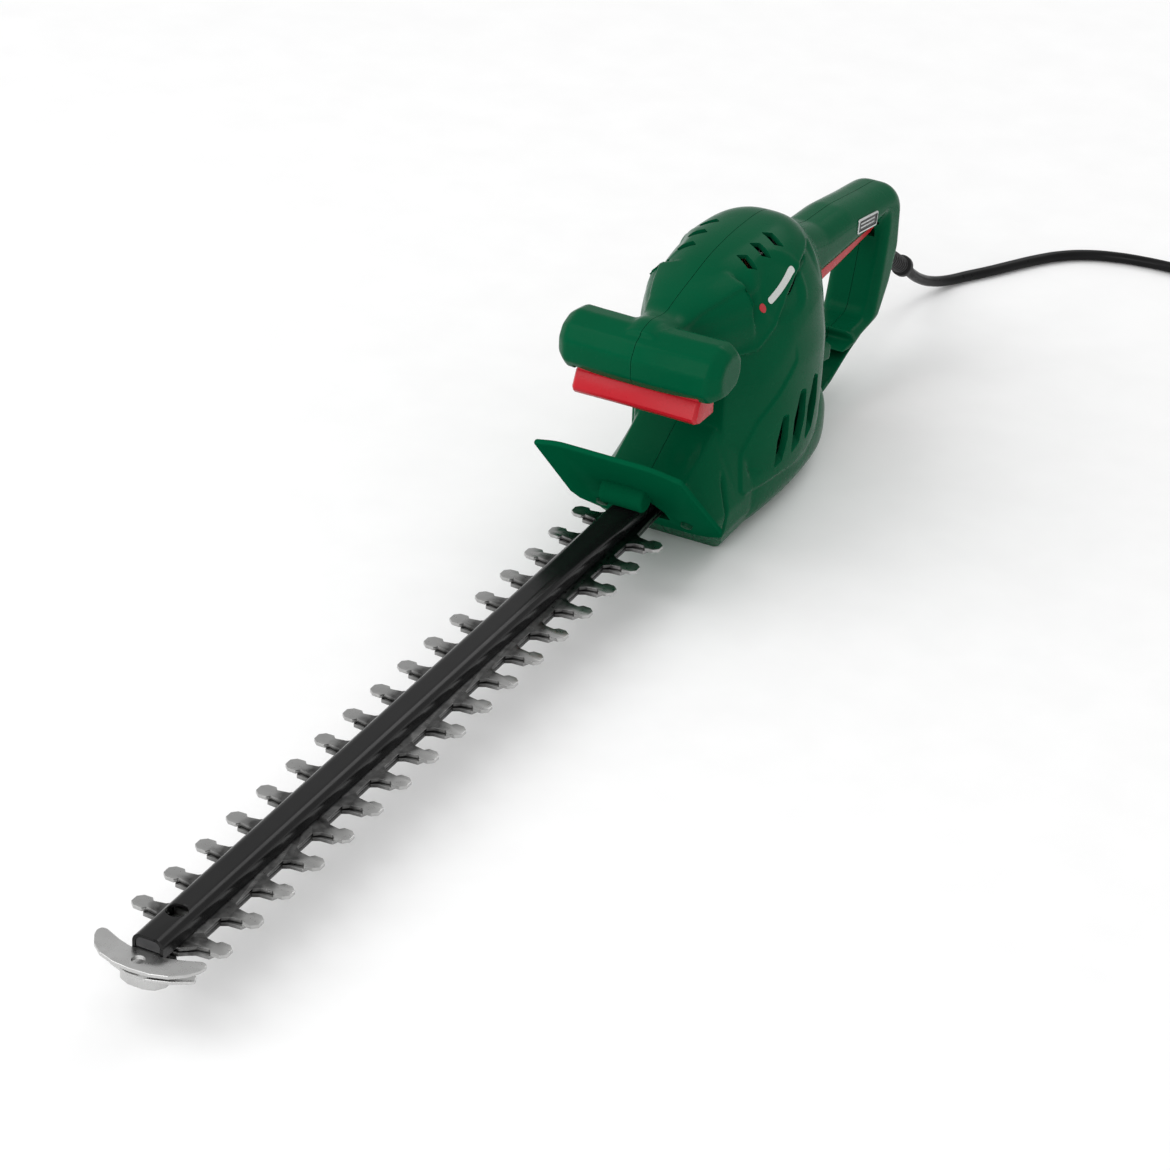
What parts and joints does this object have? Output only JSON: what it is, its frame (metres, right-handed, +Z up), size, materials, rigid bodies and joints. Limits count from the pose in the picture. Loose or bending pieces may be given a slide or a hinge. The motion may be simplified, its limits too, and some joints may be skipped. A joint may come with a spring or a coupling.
{
  "type": "hedge trimmer",
  "caption": "Corded electric hedge trimmer with a double-sided reciprocating cutter bar, leaning hand guard, crossbar front handle with switch bar and D-shaped rear handle.",
  "frame": {"origin": "on the ground under the middle of the tool's length, in the seam plane of the housing", "axes": "+Z up, +Y from the blade tip towards the rear handle, +X to the tool's left side"},
  "size_m": [0.3263, 1.0084, 0.1565],
  "materials": {
    "green_plastic": "fine-grained moulded plastic",
    "red_plastic": "satin moulded plastic",
    "black_paint": "semi-gloss black coating on steel",
    "ground_steel": "ground and hardened",
    "zinc_steel": "bright zinc plate",
    "core_steel": "stacked sheet, varnished",
    "copper": "enamelled winding wire",
    "carbon": "pressed carbon",
    "cast_aluminium": "as cast",
    "black_plastic": "moulded",
    "cream_plastic": "moulded",
    "black_rubber": "soft moulded",
    "brass": "bright"
  },
  "bodies": {
    "frame": {"housing_left": "green_plastic", "housing_right": "green_plastic", "hand_guard": "green_plastic", "guide_bar": "black_paint", "tip_guard": "ground_steel", "guide_strip": "ground_steel", "slide_rail": "zinc_steel", "gear_base_plate": "zinc_steel", "lower_bearing": "zinc_steel", "upper_bearing": "zinc_steel", "guard_screw_left": "zinc_steel", "guard_screw_right": "zinc_steel", "trigger_pin": "zinc_steel", "bar_bolt_1": "zinc_steel", "bar_bolt_2": "zinc_steel", "bar_bolt_3": "zinc_steel", "bar_bolt_4": "zinc_steel", "bar_nut_1": "zinc_steel", "bar_nut_2": "zinc_steel", "bar_nut_3": "zinc_steel", "bar_nut_4": "zinc_steel", "bar_mount_bolt_1": "zinc_steel", "bar_mount_bolt_2": "zinc_steel", "housing_screw_1": "zinc_steel", "housing_screw_2": "zinc_steel", "housing_screw_3": "zinc_steel", "housing_screw_4": "zinc_steel", "housing_screw_5": "zinc_steel", "housing_screw_6": "zinc_steel", "stator_core": "core_steel", "field_coil_left": "copper", "field_coil_right": "copper", "carbon_brush_left": "carbon", "carbon_brush_right": "carbon", "gear_plate": "cast_aluminium", "front_microswitch": "black_plastic", "rear_microswitch": "black_plastic", "suppressor_capacitor": "cream_plastic", "cord_boot": "black_rubber", "mains_cord": "black_rubber", "plug_body": "black_rubber", "brush_holder_left": "brass", "brush_holder_right": "brass", "plug_pin_1": "brass", "plug_pin_2": "brass"},
    "rotor": {"motor_shaft": "ground_steel", "motor_pinion": "ground_steel", "cooling_fan": "black_plastic", "armature_core": "core_steel", "commutator": "copper"},
    "crank": {"crank_shaft": "zinc_steel", "drive_gear": "ground_steel"},
    "upper_cutter": {"upper_blade": "ground_steel"},
    "lower_cutter": {"lower_blade": "ground_steel"},
    "switch_bar": {"front_switch_bar": "red_plastic"},
    "trigger": {"rear_trigger": "red_plastic"}
  },
  "joints": [
    {"name": "motor_spin", "type": "hinge", "parent": "frame", "child": "rotor", "pos_m": [0, 0.19415, 0.102], "axis": [0, 0, 1], "continuous": true},
    {"name": "gear_spin", "type": "hinge", "parent": "frame", "child": "crank", "pos_m": [0, 0.159, 0.052], "axis": [0, 0, 1], "continuous": true},
    {"name": "upper_blade_stroke", "type": "slide", "parent": "frame", "child": "upper_cutter", "axis": [0, 1, 0], "range_m": [-0.0054, 0.0046]},
    {"name": "lower_blade_stroke", "type": "slide", "parent": "frame", "child": "lower_cutter", "axis": [0, 1, 0], "range_m": [-0.0046, 0.0054]},
    {"name": "front_switch_press", "type": "slide", "parent": "frame", "child": "switch_bar", "axis": [0, 0, 1], "range_m": [0, 0.002], "stiffness_N_per_m": 1500, "springref_m": -0.003},
    {"name": "rear_trigger_press", "type": "hinge", "parent": "frame", "child": "trigger", "pos_m": [0, 0.375, 0.0948], "axis": [-1, 0, 0], "range_deg": [0, 3], "stiffness_Nm_per_rad": 2, "springref_deg": -5.73}
  ],
  "couplings": [
    {"joint": "gear_spin", "follows": "motor_spin", "ratio": -0.21739},
    {"joint": "lower_blade_stroke", "follows": "upper_blade_stroke", "ratio": -1}
  ]
}
